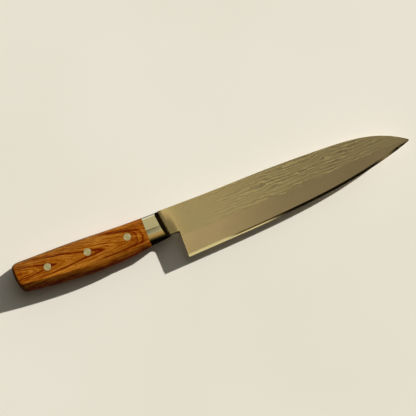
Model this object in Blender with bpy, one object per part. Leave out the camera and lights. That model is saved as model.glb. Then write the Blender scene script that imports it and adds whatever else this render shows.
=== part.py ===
"""Gyuto knife: laminated blade, welded full tang, bolster and riveted wood scales.

The knife lies on its left cheek. +X points to the tip, +Y to the spine and +Z out of the
right-hand face. The origin is on the table, under the middle of the knife's outline.
"""
import math

import bmesh
import bpy
from mathutils import Vector

# Lengths along the knife, in metres
BLADE_LENGTH = 0.180
NECK_LENGTH = 0.0088
BOLSTER_LENGTH = 0.0137
HANDLE_LENGTH = 0.1013

# Blade outline
HEEL_HEIGHT = 0.0394
TIP_DROP = 0.0150
TIP_WIDTH = 0.00135
SPINE_FALL_LENGTH = 0.0675
SPINE_FALL_POWER = 3.15
CROWN_HEIGHT = 0.00095
CROWN_FROM_HEEL = 0.0825
CROWN_REACH = 0.0620
EDGE_LIFT = 0.0093
EDGE_BELLY_POWER = 3.9

# Blade section
SPINE_THICKNESS = 0.0020
TIP_THICKNESS = 0.0007
GRIND_POWER = 1.2
BEVEL_WIDTH = 0.0020
BEVEL_THICKNESS = 0.0005
EDGE_THICKNESS = 0.00006
CLAD_LINE_HEIGHT = 0.0165
CLAD_TOE_THICKNESS = 0.00008
CLAD_TOE_WIDTH = 0.0004
LAMINATION_GAP = 0.00002

# Neck and stub
NECK_DEPTH = 0.0196
CHOIL_RADIUS = 0.0029
STUB_LENGTH = 0.0080
STUB_HEIGHT = 0.0120
STUB_DEPTH = 0.0038

# Handle outline, measured up and down from the line of rivets
RIVET_LINE_DEPTH = 0.00977
TOP_AT_BOLSTER = 0.0093
TOP_AT_REAR = 0.0108
TOP_FALL_FROM_BUTT = 0.0373
TOP_FALL_LENGTH = 0.0590
BELLY_AT_BOLSTER = 0.0125
BELLY_AT_SWELL = 0.0162
BELLY_AT_BUTT = 0.0111
SWELL_FROM_BUTT = 0.0603
BELLY_FRONT_POWER = 2.2
BELLY_REAR_POWER = 1.65
BUTT_TOP_LENGTH = 0.0065
BUTT_TOP_HEIGHT = 0.0032
BUTT_BELLY_LENGTH = 0.0046
BUTT_BELLY_HEIGHT = 0.0076

# Handle section
HANDLE_THICKNESS = 0.0176
THICKNESS_AT_BOLSTER = 0.0166
FRONT_TAPER_LENGTH = 0.0095
SPINE_ROUND_HEIGHT = 0.0022
SPINE_ROUND_DEPTH = 0.0042
BUTT_ROUND_LENGTH = 0.0026
BUTT_ROUND_DEPTH = 0.0042

# Belly section: a slow curve off the cheek, then a steep facet
CURVE_AT_BUTT = 0.0008
CURVE_AT_ROUNDEST = 0.0085
CURVE_AT_BOLSTER = 0.0084
CURVE_DROP_AT_BUTT = 0.0002
CURVE_DROP_AT_ROUNDEST = 0.0038
CURVE_DROP_AT_BOLSTER = 0.0014
FACET_AT_BUTT = 0.0063
FACET_AT_ROUNDEST = 0.0024
FACET_AT_FRONT = 0.0048
FACET_AT_BOLSTER = 0.0039
FACET_DROP_AT_BUTT = 0.0069
FACET_DROP_AT_ROUNDEST = 0.0033
FACET_DROP_AT_FRONT = 0.0056
FACET_DROP_AT_BOLSTER = 0.0030
REAR_FACET_END = 0.0430
ROUNDEST_FROM_BUTT = 0.0670
FRONT_FACET_START = 0.0820
FACET_FIRST_SLOPE = 0.7
UPRIGHT_LAND = 0.0004

# Bolster
BOLSTER_TOP_AT_FRONT = 0.0094
BOLSTER_BELLY_AT_FRONT = 0.0112
BOLSTER_SLANT = 0.0028
BOLSTER_FRONT_RUN = 0.0029
BOLSTER_LAND = 0.0028

# Tang and rivets
TANG_THICKNESS = 0.0020
RIVET_COUNT = 3
RIVET_PITCH = 0.03077
FIRST_RIVET = 0.01415
HEAD_RADIUS = 0.00275
HEAD_DEPTH = 0.0022
SLEEVE_RADIUS = 0.0021
BORE_RADIUS = 0.0015

# Clearances
FIT = 0.0003
RIVET_GAP = 0.0001
CUT_MARGIN = 0.005

# Facets
ROUND_STEPS = 7
FACET_STEPS = 3
TURN_STEPS = 32
REAR_COLUMNS = 8
BLADE_COLUMNS = 26
HANDLE_STATIONS = 16
TIP_CROWDING = 1.7

# Places that follow from the sizes
OVERALL_LENGTH = HANDLE_LENGTH + BOLSTER_LENGTH + NECK_LENGTH + BLADE_LENGTH
X_BUTT = -OVERALL_LENGTH / 2
X_JOINT = X_BUTT + HANDLE_LENGTH
X_FRONT = X_JOINT + BOLSTER_LENGTH
X_HEEL = X_FRONT + NECK_LENGTH
X_TIP = X_HEEL + BLADE_LENGTH
X_STUB_END = X_FRONT - STUB_LENGTH
X_CROWN = X_HEEL + CROWN_FROM_HEEL
X_TOP_FALL = X_BUTT + TOP_FALL_FROM_BUTT
X_SWELL = X_BUTT + SWELL_FROM_BUTT
X_REAR_FACET = X_BUTT + REAR_FACET_END
X_ROUNDEST = X_BUTT + ROUNDEST_FROM_BUTT
X_FRONT_FACET = X_BUTT + FRONT_FACET_START
Y_RIVETS = (HEEL_HEIGHT - RIVET_LINE_DEPTH - TOP_AT_REAR) / 2
Y_SPINE = Y_RIVETS + RIVET_LINE_DEPTH
Y_HEEL = Y_SPINE - HEEL_HEIGHT
Y_NECK = Y_SPINE - NECK_DEPTH
Y_STUB_TOP = Y_SPINE - STUB_DEPTH
Y_STUB_BOTTOM = Y_STUB_TOP - STUB_HEIGHT
Z_MID = HANDLE_THICKNESS / 2
CLAD_LINE = CLAD_LINE_HEIGHT / HEEL_HEIGHT
CLAD_TOE = CLAD_LINE + CLAD_TOE_WIDTH / HEEL_HEIGHT
TANG_FACE = TANG_THICKNESS / 2
SCALE_FACE = TANG_FACE + FIT


def clear_scene():
    for old in list(bpy.data.objects):
        bpy.data.objects.remove(old, do_unlink=True)


def lerp(start, end, share):
    return start + (end - start) * share


def clamp(value):
    return min(max(value, 0.0), 1.0)


def smooth(share):
    share = clamp(share)
    return share * share * (3 - 2 * share)


# Blade shape


def along_blade(x):
    return clamp((x - X_HEEL) / BLADE_LENGTH)


def edge_y(x):
    """Cutting edge: a steady lift from the heel, then the belly curves up to the tip."""
    belly_rise = HEEL_HEIGHT - TIP_DROP - TIP_WIDTH - EDGE_LIFT
    share = (x - X_HEEL) / BLADE_LENGTH
    return Y_HEEL + EDGE_LIFT * share + belly_rise * clamp(share) ** EDGE_BELLY_POWER


def spine_y(x):
    """Spine: a low crown over the middle of the blade, then falling to the tip."""
    away = min(abs(x - X_CROWN) / CROWN_REACH, 1)
    crown = CROWN_HEIGHT * (1 - away**2) ** 2
    share = clamp(1 - (X_TIP - x) / SPINE_FALL_LENGTH)
    return Y_SPINE + crown - TIP_DROP * share**SPINE_FALL_POWER


def blade_y(x, share):
    return lerp(edge_y(x), spine_y(x), share)


def bevel_share(x):
    """Top of the edge bevel, as a share of the blade's height there."""
    return min(BEVEL_WIDTH / (spine_y(x) - edge_y(x)), CLAD_LINE / 2)


def spine_half(x):
    return lerp(SPINE_THICKNESS, TIP_THICKNESS, along_blade(x)) / 2


def ground_half(x, share):
    """Half the blade's thickness at a share of its height, as ground."""
    bevel = bevel_share(x)
    bevel_half = min(BEVEL_THICKNESS / 2, spine_half(x))
    if share <= bevel:
        return lerp(EDGE_THICKNESS / 2, bevel_half, share / bevel)
    above = (share - bevel) / (1 - bevel)
    return lerp(bevel_half, spine_half(x), above**GRIND_POWER)


def face_half(x, share):
    """The ground face, filling out to the full thickness in the neck."""
    full = smooth((X_HEEL - x) / NECK_LENGTH)
    return lerp(ground_half(x, share), spine_half(x), full)


def core_half(x, share):
    """The core shows below the clad line and is a flat slab under the cladding."""
    if share <= CLAD_LINE:
        return ground_half(x, share)
    return ground_half(x, CLAD_LINE) - CLAD_TOE_THICKNESS


def core_shares(x):
    bevel = bevel_share(x)
    return [0, bevel, (bevel + CLAD_LINE) / 2, CLAD_LINE, CLAD_TOE, 1]


def cladding_shares(x):
    return [lerp(CLAD_TOE, 1, step / 3) for step in range(4)]


def blade_columns():
    rear_end = X_HEEL + CHOIL_RADIUS
    rear = [lerp(X_STUB_END, rear_end, i / REAR_COLUMNS) for i in range(REAR_COLUMNS)]
    shares = [i / BLADE_COLUMNS for i in range(BLADE_COLUMNS + 1)]
    return rear + [lerp(X_TIP, rear_end, (1 - s) ** TIP_CROWDING) for s in shares]


def bolster_front_x(y):
    """The bolster's front leans forward towards the belly side."""
    middle = Y_RIVETS + (BOLSTER_TOP_AT_FRONT - BOLSTER_BELLY_AT_FRONT) / 2
    height = BOLSTER_TOP_AT_FRONT + BOLSTER_BELLY_AT_FRONT
    return X_FRONT + BOLSTER_SLANT * (middle - y) / height


# Handle shape


def butt_inset(x, length, height):
    """How far an elliptical corner at the butt pulls the outline in at x."""
    into = clamp((x - X_BUTT) / length)
    return height * (1 - math.sqrt(1 - (1 - into) ** 2))


def handle_top(x):
    """Level at the rear, then falling gently to the bolster."""
    fall = smooth((x - X_TOP_FALL) / TOP_FALL_LENGTH)
    rise = lerp(TOP_AT_REAR, TOP_AT_BOLSTER, fall)
    return Y_RIVETS + rise - butt_inset(x, BUTT_TOP_LENGTH, BUTT_TOP_HEIGHT)


def handle_belly(x):
    """A palm swell that thins towards the bolster and the butt."""
    if x > X_SWELL:
        share = (x - X_SWELL) / (X_JOINT - X_SWELL)
        depth = lerp(BELLY_AT_SWELL, BELLY_AT_BOLSTER, share**BELLY_FRONT_POWER)
    else:
        share = (X_SWELL - x) / SWELL_FROM_BUTT
        depth = lerp(BELLY_AT_SWELL, BELLY_AT_BUTT, share**BELLY_REAR_POWER)
    return Y_RIVETS - depth + butt_inset(x, BUTT_BELLY_LENGTH, BUTT_BELLY_HEIGHT)


def handle_half(x):
    """Half the handle's thickness: flat cheeks, drawn in to meet the bolster."""
    drawn_in = smooth(1 - (X_JOINT - x) / FRONT_TAPER_LENGTH)
    half = lerp(HANDLE_THICKNESS, THICKNESS_AT_BOLSTER, drawn_in) / 2
    return half - butt_inset(x, BUTT_ROUND_LENGTH, BUTT_ROUND_DEPTH)


def along_belly(x, butt, roundest, front, bolster):
    """A size of the belly's section at x, blended between four places along the handle."""
    size = lerp(butt, roundest, smooth((x - X_REAR_FACET) / (X_ROUNDEST - X_REAR_FACET)))
    size = lerp(size, front, smooth((x - X_ROUNDEST) / (X_FRONT_FACET - X_ROUNDEST)))
    return lerp(size, bolster, smooth(1 - (X_JOINT - x) / FRONT_TAPER_LENGTH))


def belly_shape(x):
    """Widths and drops of the belly's slow curve off the cheek, and of its steep facet."""
    curve = along_belly(x, CURVE_AT_BUTT, CURVE_AT_ROUNDEST, CURVE_AT_BOLSTER, CURVE_AT_BOLSTER)
    curve_drop = along_belly(
        x,
        CURVE_DROP_AT_BUTT,
        CURVE_DROP_AT_ROUNDEST,
        CURVE_DROP_AT_BOLSTER,
        CURVE_DROP_AT_BOLSTER,
    )
    facet = along_belly(x, FACET_AT_BUTT, FACET_AT_ROUNDEST, FACET_AT_FRONT, FACET_AT_BOLSTER)
    facet_drop = along_belly(
        x,
        FACET_DROP_AT_BUTT,
        FACET_DROP_AT_ROUNDEST,
        FACET_DROP_AT_FRONT,
        FACET_DROP_AT_BOLSTER,
    )
    return curve, curve_drop, facet, facet_drop


def bolster_shape(belly):
    """The belly's section at the joint, its facet narrowed to keep the shoulder level."""
    curve, curve_drop, facet, facet_drop = belly_shape(X_JOINT)
    risen = belly - (Y_RIVETS - BELLY_AT_BOLSTER)
    left = 1 - risen / facet
    return curve, curve_drop, facet * left, facet_drop * left


def half_section(top, belly, half, inner, shape):
    """Points (y, z) of half a handle section, from its spine side round to its belly.

    The cheek falls away in a slow curve to a shoulder, and from there in a steeper facet
    to the belly. They are shallower where the half is thin, to leave a low upright land.
    """
    room = half - inner - UPRIGHT_LAND
    spine_depth = min(SPINE_ROUND_DEPTH, room)
    curve, curve_drop, facet, facet_drop = shape
    held = min(1, room / (curve_drop + facet_drop))
    shoulder = belly + facet
    points = [(top, inner)]
    for step in range(ROUND_STEPS + 1):
        turn = math.pi / 2 * step / ROUND_STEPS
        y = top - SPINE_ROUND_HEIGHT * (1 - math.cos(turn))
        points.append((y, half - spine_depth * (1 - math.sin(turn))))
    for step in range(ROUND_STEPS + 1):
        share = step / ROUND_STEPS
        points.append((shoulder + curve * (1 - share), half - held * curve_drop * share**2))
    for step in range(1, FACET_STEPS + 1):
        share = step / FACET_STEPS
        down = curve_drop + facet_drop * share * lerp(FACET_FIRST_SLOPE, 1, share)
        points.append((shoulder - facet * share, half - held * down))
    points.append((belly, inner))
    return points


def handle_stations():
    """Sections close together round the butt's corners, then evenly to the bolster."""
    corner = max(BUTT_TOP_LENGTH, BUTT_BELLY_LENGTH, BUTT_ROUND_LENGTH)
    end = X_JOINT - FIT
    turns = [math.pi / 2 * i / ROUND_STEPS for i in range(ROUND_STEPS)]
    rounded = [X_BUTT + corner * (1 - math.cos(turn)) for turn in turns]
    start = X_BUTT + corner
    straight = [lerp(start, end, i / HANDLE_STATIONS) for i in range(HANDLE_STATIONS)]
    return rounded + straight + [end]


# Mesh builders


def add_object(name, mesh):
    """Turn a bmesh into a named object with its faces pointing out."""
    bmesh.ops.recalc_face_normals(mesh, faces=mesh.faces)
    data = bpy.data.meshes.new(name)
    mesh.to_mesh(data)
    mesh.free()
    made = bpy.data.objects.new(name, data)
    bpy.context.scene.collection.objects.link(made)
    return made


def grid_solid(name, columns, shares_at, low, high):
    """Closed solid over the blade's outline, between a low and a high surface."""
    mesh = bmesh.new()
    layers = []
    for surface in (low, high):
        layer = []
        for x in columns:
            shares = shares_at(x)
            points = [(x, blade_y(x, share), surface(x, share)) for share in shares]
            layer.append([mesh.verts.new(point) for point in points])
        layers.append(layer)
    last_column = len(columns) - 1
    last_row = len(layers[0][0]) - 1
    for layer in layers:
        for i in range(last_column):
            for j in range(last_row):
                corners = (layer[i][j], layer[i + 1][j], layer[i + 1][j + 1], layer[i][j + 1])
                mesh.faces.new(corners)
    below, above = layers
    for i in range(last_column):
        for j in (0, last_row):
            mesh.faces.new((below[i][j], below[i + 1][j], above[i + 1][j], above[i][j]))
    for i in (0, last_column):
        for j in range(last_row):
            mesh.faces.new((below[i][j], below[i][j + 1], above[i][j + 1], above[i][j]))
    return add_object(name, mesh)


def extruded(name, outline, low, high):
    """Closed solid of an (x, y) outline between two heights."""
    mesh = bmesh.new()
    face = mesh.faces.new([mesh.verts.new((x, y, low)) for x, y in outline])
    grown = bmesh.ops.extrude_face_region(mesh, geom=[face])
    raised = [item for item in grown["geom"] if isinstance(item, bmesh.types.BMVert)]
    bmesh.ops.translate(mesh, verts=raised, vec=(0, 0, high - low))
    return add_object(name, mesh)


def lofted(rings):
    """Bmesh through closed rings of equal length, with flat ends."""
    mesh = bmesh.new()
    loops = [[mesh.verts.new(point) for point in ring] for ring in rings]
    size = len(loops[0])
    for near, far in zip(loops, loops[1:]):
        for k in range(size):
            following = (k + 1) % size
            mesh.faces.new((near[k], near[following], far[following], far[k]))
    mesh.faces.new(loops[0])
    mesh.faces.new(loops[-1])
    return mesh


def turned(name, centre, profile):
    """Closed solid turned about a vertical axis from (radius, height) points."""
    turns = [2 * math.pi * k / TURN_STEPS for k in range(TURN_STEPS)]
    rings = []
    for radius, height in profile:
        ring = []
        for turn in turns:
            x = centre[0] + radius * math.cos(turn)
            y = centre[1] + radius * math.sin(turn)
            ring.append((x, y, Z_MID + height))
        rings.append(ring)
    made = add_object(name, lofted(rings))
    made.data.shade_smooth()
    made.data.set_sharp_from_angle(angle=math.radians(40))
    return made


def cut(target, cutter):
    """Take the cutter's shape out of the target."""
    boolean = target.modifiers.new(cutter.name, "BOOLEAN")
    boolean.operation = "DIFFERENCE"
    boolean.solver = "EXACT"
    boolean.object = cutter
    cutter.hide_render = True
    cutter.display_type = "WIRE"


def finish(made, colour, roughness, metallic):
    """Give an object its own material."""
    material = bpy.data.materials.new(made.name)
    material.use_nodes = True
    shader = material.node_tree.nodes["Principled BSDF"]
    shader.inputs["Base Color"].default_value = (*colour, 1)
    shader.inputs["Roughness"].default_value = roughness
    shader.inputs["Metallic"].default_value = metallic
    material.diffuse_color = (*colour, 1)
    made.data.materials.append(material)


# Pieces


def shoulder_x(y):
    return bolster_front_x(y) + FIT


def blank_cutters():
    """What the blade blank leaves out: the choil below the neck, and above the stub."""
    rear = X_STUB_END - CUT_MARGIN
    floor = Y_HEEL - CUT_MARGIN
    ceiling = Y_SPINE + CUT_MARGIN
    choil = [
        (rear, floor),
        (rear, Y_STUB_BOTTOM),
        (shoulder_x(Y_STUB_BOTTOM), Y_STUB_BOTTOM),
        (shoulder_x(Y_NECK), Y_NECK),
    ]
    for step in range(ROUND_STEPS + 1):
        turn = math.pi / 2 * step / ROUND_STEPS
        x = X_HEEL - CHOIL_RADIUS * (1 - math.sin(turn))
        choil.append((x, Y_NECK - CHOIL_RADIUS * (1 - math.cos(turn))))
    choil.append((X_HEEL, floor))
    above_stub = [
        (rear, Y_STUB_TOP),
        (shoulder_x(Y_STUB_TOP), Y_STUB_TOP),
        (shoulder_x(ceiling), ceiling),
        (rear, ceiling),
    ]
    low = Z_MID - CUT_MARGIN
    high = Z_MID + CUT_MARGIN
    return [
        extruded("choil_cutter", choil, low, high),
        extruded("shoulder_cutter", above_stub, low, high),
    ]


def make_blade():
    columns = blade_columns()

    def core_top(x, share):
        return Z_MID + core_half(x, share)

    def core_bottom(x, share):
        return Z_MID - core_half(x, share)

    def clad_top(x, share):
        return Z_MID + face_half(x, share)

    def clad_bottom(x, share):
        return Z_MID - face_half(x, share)

    def seam_right(x, share):
        return core_top(x, share) + LAMINATION_GAP

    def seam_left(x, share):
        return core_bottom(x, share) - LAMINATION_GAP

    core = grid_solid("blade_core", columns, core_shares, core_bottom, core_top)
    right = grid_solid("cladding_right", columns, cladding_shares, seam_right, clad_top)
    left = grid_solid("cladding_left", columns, cladding_shares, clad_bottom, seam_left)
    for cutter in blank_cutters():
        for layer in (core, right, left):
            cut(layer, cutter)
    finish(core, (0.48, 0.43, 0.32), 0.28, 1.0)
    for layer in (right, left):
        finish(layer, (0.42, 0.37, 0.26), 0.36, 1.0)


def make_bolster():
    """One collar round the weld, flush with the scales, its front sloping to the blade."""
    rings = []
    for x in (X_JOINT, X_FRONT + CUT_MARGIN):
        share = (x - X_JOINT) / BOLSTER_LENGTH
        top = Y_RIVETS + lerp(TOP_AT_BOLSTER, BOLSTER_TOP_AT_FRONT, share)
        belly = Y_RIVETS - lerp(BELLY_AT_BOLSTER, BOLSTER_BELLY_AT_FRONT, share)
        side = half_section(top, belly, THICKNESS_AT_BOLSTER / 2, 0, bolster_shape(belly))[1:-1]
        ring = [(x, y, Z_MID + z) for y, z in side]
        ring += [(x, y, Z_MID - z) for y, z in reversed(side)]
        rings.append(ring)
    mesh = lofted(rings)
    lean = BOLSTER_SLANT / (BOLSTER_TOP_AT_FRONT + BOLSTER_BELLY_AT_FRONT)
    slope = BOLSTER_FRONT_RUN / ((THICKNESS_AT_BOLSTER - BOLSTER_LAND) / 2)
    for side in (-1, 0, 1):
        point = (bolster_front_x(Y_RIVETS), Y_RIVETS, Z_MID + side * BOLSTER_LAND / 2)
        normal = Vector((1, lean, side * slope)).normalized()
        everything = mesh.verts[:] + mesh.edges[:] + mesh.faces[:]
        bmesh.ops.bisect_plane(
            mesh, geom=everything, plane_co=point, plane_no=normal, clear_outer=True
        )
        rim = [edge for edge in mesh.edges if edge.is_boundary]
        bmesh.ops.holes_fill(mesh, edges=rim)
    bolster = add_object("bolster", mesh)
    bolster.data.shade_smooth()
    bolster.data.set_sharp_from_angle(angle=math.radians(30))
    low = Y_STUB_BOTTOM - FIT
    high = Y_STUB_TOP + FIT
    start = X_JOINT - CUT_MARGIN
    end = X_FRONT + CUT_MARGIN
    slot_outline = [(start, low), (end, low), (end, high), (start, high)]
    half = max(SPINE_THICKNESS, TANG_THICKNESS) / 2 + FIT
    cut(bolster, extruded("slot_cutter", slot_outline, Z_MID - half, Z_MID + half))
    finish(bolster, (0.62, 0.60, 0.50), 0.12, 1.0)


def make_tang(hole_cutters):
    """The full tang: the handle's outline, with a tongue into the bolster's slot."""
    stations = handle_stations()
    tongue_end = X_STUB_END - FIT
    outline = [(x, handle_belly(x)) for x in stations]
    outline += [(stations[-1], Y_STUB_BOTTOM), (tongue_end, Y_STUB_BOTTOM)]
    outline += [(tongue_end, Y_STUB_TOP), (stations[-1], Y_STUB_TOP)]
    outline += [(x, handle_top(x)) for x in reversed(stations)]
    tang = extruded("tang", outline, Z_MID - TANG_FACE, Z_MID + TANG_FACE)
    for cutter in hole_cutters:
        cut(tang, cutter)
    finish(tang, (0.45, 0.43, 0.38), 0.40, 1.0)


def make_scale(name, side, hole_cutters):
    """One wood scale: flat cheek, a tight round to the spine and a shaped belly."""
    rings = []
    for x in handle_stations():
        points = half_section(
            handle_top(x), handle_belly(x), handle_half(x), SCALE_FACE, belly_shape(x)
        )
        rings.append([(x, y, Z_MID + side * z) for y, z in points])
    scale = add_object(name, lofted(rings))
    scale.data.shade_smooth()
    scale.data.set_sharp_from_angle(angle=math.radians(30))
    for cutter in hole_cutters:
        cut(scale, cutter)
    finish(scale, (0.36, 0.13, 0.02), 0.38, 0.0)


def rivet_hole(name, centre):
    """Stepped hole through both scales and the tang, with a seat for each head."""
    seat = Z_MID - HEAD_DEPTH - RIVET_GAP
    outside = Z_MID + CUT_MARGIN
    head = HEAD_RADIUS + RIVET_GAP
    shank = SLEEVE_RADIUS + RIVET_GAP
    profile = [(head, -outside), (head, -seat), (shank, -seat)]
    profile += [(shank, seat), (head, seat), (head, outside)]
    return turned(name, centre, profile)


def make_rivet(place, centre):
    """A two-part rivet: a headed pin from the right, in a headed sleeve from the left."""
    under_head = Z_MID - HEAD_DEPTH
    pin = BORE_RADIUS - RIVET_GAP
    pin_profile = [(HEAD_RADIUS, Z_MID), (HEAD_RADIUS, under_head), (pin, under_head)]
    pin_profile += [(pin, -under_head + FIT)]
    sleeve_profile = [(HEAD_RADIUS, -Z_MID), (HEAD_RADIUS, -under_head)]
    sleeve_profile += [(SLEEVE_RADIUS, -under_head), (SLEEVE_RADIUS, under_head - FIT)]
    sleeve_profile += [(BORE_RADIUS, under_head - FIT), (BORE_RADIUS, -under_head)]
    for side, profile in (("right", pin_profile), ("left", sleeve_profile)):
        half = turned(f"rivet_{place}_{side}", centre, profile)
        finish(half, (0.66, 0.62, 0.47), 0.30, 1.0)


def rivet_places():
    names = ["front", "middle", "rear"]
    names += [f"extra_{k}" for k in range(RIVET_COUNT - len(names))]
    places = []
    for k in range(RIVET_COUNT):
        places.append((names[k], (X_JOINT - FIRST_RIVET - k * RIVET_PITCH, Y_RIVETS)))
    return places


def main():
    clear_scene()
    make_blade()
    make_bolster()
    places = rivet_places()
    hole_cutters = [rivet_hole(f"{place}_hole_cutter", at) for place, at in places]
    make_tang(hole_cutters)
    make_scale("scale_right", 1, hole_cutters)
    make_scale("scale_left", -1, hole_cutters)
    for place, at in places:
        make_rivet(place, at)


main()
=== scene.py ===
"""Looks of the gyuto knife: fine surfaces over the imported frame, materials, light and camera."""
import math

import bmesh
import bpy
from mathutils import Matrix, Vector


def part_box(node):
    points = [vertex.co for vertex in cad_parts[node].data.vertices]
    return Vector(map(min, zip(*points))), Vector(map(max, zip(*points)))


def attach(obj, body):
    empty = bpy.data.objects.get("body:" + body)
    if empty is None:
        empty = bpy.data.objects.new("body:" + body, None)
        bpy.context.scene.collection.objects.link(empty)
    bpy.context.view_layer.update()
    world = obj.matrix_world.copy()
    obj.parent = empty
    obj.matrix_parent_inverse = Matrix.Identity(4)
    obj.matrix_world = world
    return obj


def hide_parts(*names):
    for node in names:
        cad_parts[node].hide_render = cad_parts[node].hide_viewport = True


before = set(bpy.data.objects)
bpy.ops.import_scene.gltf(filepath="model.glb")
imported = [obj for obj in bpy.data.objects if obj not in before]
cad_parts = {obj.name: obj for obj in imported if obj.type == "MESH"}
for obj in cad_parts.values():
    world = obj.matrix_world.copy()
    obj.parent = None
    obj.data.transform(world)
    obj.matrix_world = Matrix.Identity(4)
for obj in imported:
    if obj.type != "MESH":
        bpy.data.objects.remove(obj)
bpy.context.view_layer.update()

MM = 0.001

# Places read from the frame
CORE_LOW, CORE_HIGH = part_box("blade_core")
BOLSTER_LOW, BOLSTER_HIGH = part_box("bolster")
RIGHT_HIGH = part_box("scale_right")[1]
LEFT_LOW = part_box("scale_left")[0]
TANG_LOW, TANG_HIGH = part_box("tang")
RIVET_PLACES = ("front", "middle", "rear")
X_BUTT = TANG_LOW.x
X_JOINT = BOLSTER_LOW.x
X_TIP = CORE_HIGH.x
X_STUB_END = CORE_LOW.x
Y_HEEL = CORE_LOW.y
Z_TOP = RIGHT_HIGH.z
Z_MID = (Z_TOP + LEFT_LOW.z) / 2
Z_CHEEK = Z_TOP - Z_MID
TANG_FACE = (TANG_HIGH.z - TANG_LOW.z) / 2
BOLSTER_HALF = (BOLSTER_HIGH.z - BOLSTER_LOW.z) / 2


def rivet_centre(place):
    low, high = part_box(f"rivet_{place}_right")
    return (low.x + high.x) / 2, (low.y + high.y) / 2


Y_RIVETS = rivet_centre("front")[1]

# Shape of the blade, as the frame was cut
BLADE_LENGTH = 180 * MM
NECK_LENGTH = 8.8 * MM
NECK_DEPTH = 19.6 * MM
CHOIL_RADIUS = 2.9 * MM
STUB_HEIGHT = 12 * MM
STUB_DEPTH = 3.8 * MM
HEEL_HEIGHT = 39.4 * MM
TIP_DROP = 15 * MM
TIP_WIDTH = 1.35 * MM
SPINE_FALL_LENGTH = 67.5 * MM
SPINE_FALL_POWER = 3.15
CROWN_HEIGHT = 0.95 * MM
CROWN_FROM_HEEL = 82.5 * MM
CROWN_REACH = 62 * MM
EDGE_LIFT = 9.3 * MM
EDGE_BELLY_POWER = 3.9
SPINE_HALF = 1.0 * MM
TIP_HALF = 0.35 * MM
GRIND_POWER = 1.2
BEVEL_WIDTH = 2.0 * MM
BEVEL_HALF = 0.25 * MM
EDGE_HALF = 0.03 * MM
CLAD_LINE_HEIGHT = 16.5 * MM

# Shape of the handle, as the frame was cut
TOP_AT_BOLSTER = 9.3 * MM
TOP_AT_REAR = 10.8 * MM
TOP_FALL_FROM_BUTT = 37.3 * MM
TOP_FALL_LENGTH = 59 * MM
BELLY_AT_BOLSTER = 12.5 * MM
BELLY_AT_SWELL = 16.2 * MM
BELLY_AT_BUTT = 11.1 * MM
SWELL_FROM_BUTT = 60.3 * MM
BELLY_FRONT_POWER = 2.2
BELLY_REAR_POWER = 1.65
BUTT_TOP_LENGTH = 6.5 * MM
BUTT_TOP_HEIGHT = 3.2 * MM
BUTT_BELLY_LENGTH = 4.6 * MM
BUTT_BELLY_HEIGHT = 7.6 * MM
BUTT_ROUND_LENGTH = 2.6 * MM
BUTT_ROUND_DEPTH = 4.2 * MM
FRONT_TAPER_LENGTH = 9.5 * MM
SPINE_ROUND_HEIGHT = 2.2 * MM
SPINE_ROUND_DEPTH = 4.2 * MM

# Belly section: a slow curve off the cheek, then a steep facet
CURVE_AT_BUTT = 0.8 * MM
CURVE_AT_ROUNDEST = 8.5 * MM
CURVE_AT_BOLSTER = 8.4 * MM
CURVE_DROP_AT_BUTT = 0.2 * MM
CURVE_DROP_AT_ROUNDEST = 3.8 * MM
CURVE_DROP_AT_BOLSTER = 1.4 * MM
FACET_AT_BUTT = 6.3 * MM
FACET_AT_ROUNDEST = 2.4 * MM
FACET_AT_FRONT = 4.8 * MM
FACET_AT_BOLSTER = 3.9 * MM
FACET_DROP_AT_BUTT = 6.9 * MM
FACET_DROP_AT_ROUNDEST = 3.3 * MM
FACET_DROP_AT_FRONT = 5.6 * MM
FACET_DROP_AT_BOLSTER = 3 * MM
REAR_FACET_END = 43 * MM
ROUNDEST_FROM_BUTT = 67 * MM
FRONT_FACET_START = 82 * MM
FACET_FIRST_SLOPE = 0.7
UPRIGHT_LAND = 0.4 * MM

# Shape of the bolster, as the frame was cut
BOLSTER_LENGTH = 13.7 * MM
BOLSTER_TOP_AT_FRONT = 9.4 * MM
BOLSTER_BELLY_AT_FRONT = 11.2 * MM
BOLSTER_SLANT = 2.8 * MM
BOLSTER_FRONT_RUN = 2.9 * MM
BOLSTER_LAND_HALF = 1.8 * MM

# Rivets
HEAD_RADIUS = 2.75 * MM
HEAD_DEPTH = 2.2 * MM
SLEEVE_RADIUS = 2.1 * MM
PIN_RADIUS = 1.4 * MM

# Finish that only the scene has
SEAM = 0.01 * MM
GLUE_LINE = 0.03 * MM
CLAD_WAVE = 0.5 * MM
CLAD_SETTLE = 12 * MM
SPINE_EASE = 0.15 * MM
SPINE_EASE_DEPTH = 0.8 * SPINE_EASE
NECK_RISE = 0.35 * MM
NECK_SLOW_SHARE = 0.25
NECK_FILLET = 7.5 * MM
BOLSTER_EASE = 0.25 * MM
HEAD_CHAMFER = 0.1 * MM
HEAD_RING_RADIUS = 1.75 * MM
HEAD_RING_HALF = 0.12 * MM
HEAD_RING_DEPTH = 0.06 * MM

# Waves that make up the clad line's wander: radians per metre, phase and strength
CLAD_WAVES = ((190, 0.0, 1.0), (431, 1.3, 0.6), (913, 0.4, 0.3))

# A bolster face that looks further forward than this, as a normal's x, is its front
FRONT_FACING = 0.5

# How far a cutter reaches past what it cuts
CUT_MARGIN = 5 * MM

# Steps of the meshes
CORE_STEPS = 14
CLADDING_STEPS = 22
EASE_STEPS = 4
REAR_COLUMNS = 40
BLADE_COLUMNS = 220
TIP_CROWDING = 1.5
CHOIL_STEPS = 28
BUTT_STATIONS = 20
TANG_STATIONS = 120
SCALE_STATIONS = 150
SCALE_STEPS = 24
BOLSTER_STATIONS = 8
BOLSTER_STEPS = 26
FACET_STEPS = 12
TURN_STEPS = 96

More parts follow.
